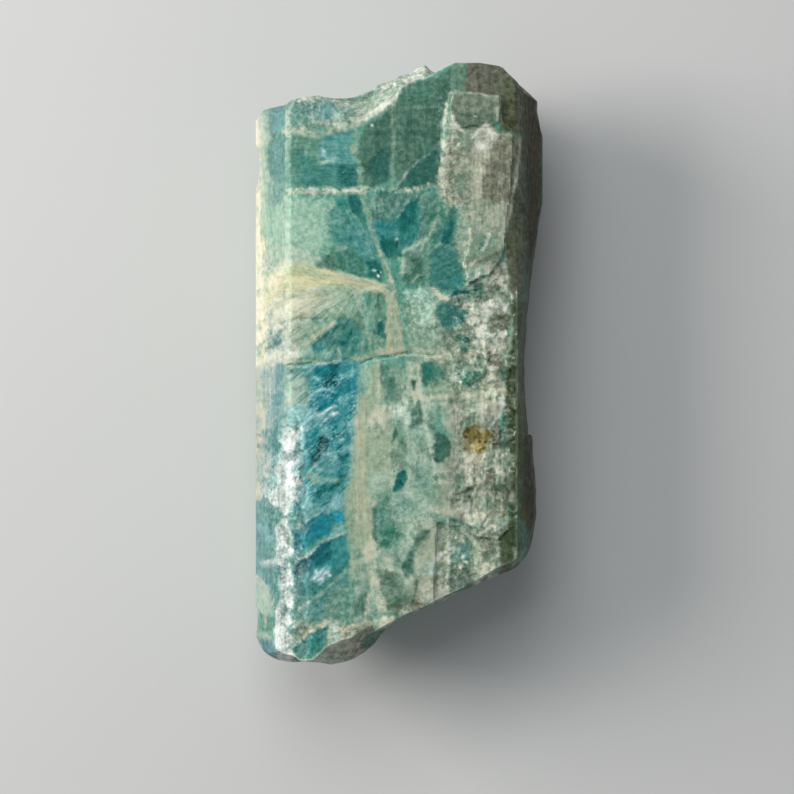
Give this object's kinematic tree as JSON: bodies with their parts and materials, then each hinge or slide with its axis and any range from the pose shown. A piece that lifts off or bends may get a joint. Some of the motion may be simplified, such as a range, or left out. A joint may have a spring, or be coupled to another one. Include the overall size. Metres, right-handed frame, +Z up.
{
  "type": "aquamarine crystal",
  "caption": "Broken six-sided aquamarine prism, blue-green and veined with white fractures, lying on a prism face.",
  "frame": {"origin": "centre of the outline's box on the surface that the crystal lies on", "axes": "+Z up, out of the broad prism face that shows; +Y along the prism, towards the end whose break is higher on the right; +X across the broad face"},
  "size_m": [0.0348, 0.0728, 0.02],
  "materials": {
    "aquamarine": "glassy prism faces over a blue-green body, clouded by white healed fractures, with sugary broken ends and edges"
  },
  "bodies": {
    "root": {"aquamarine_crystal": "aquamarine"}
  },
  "joints": []
}
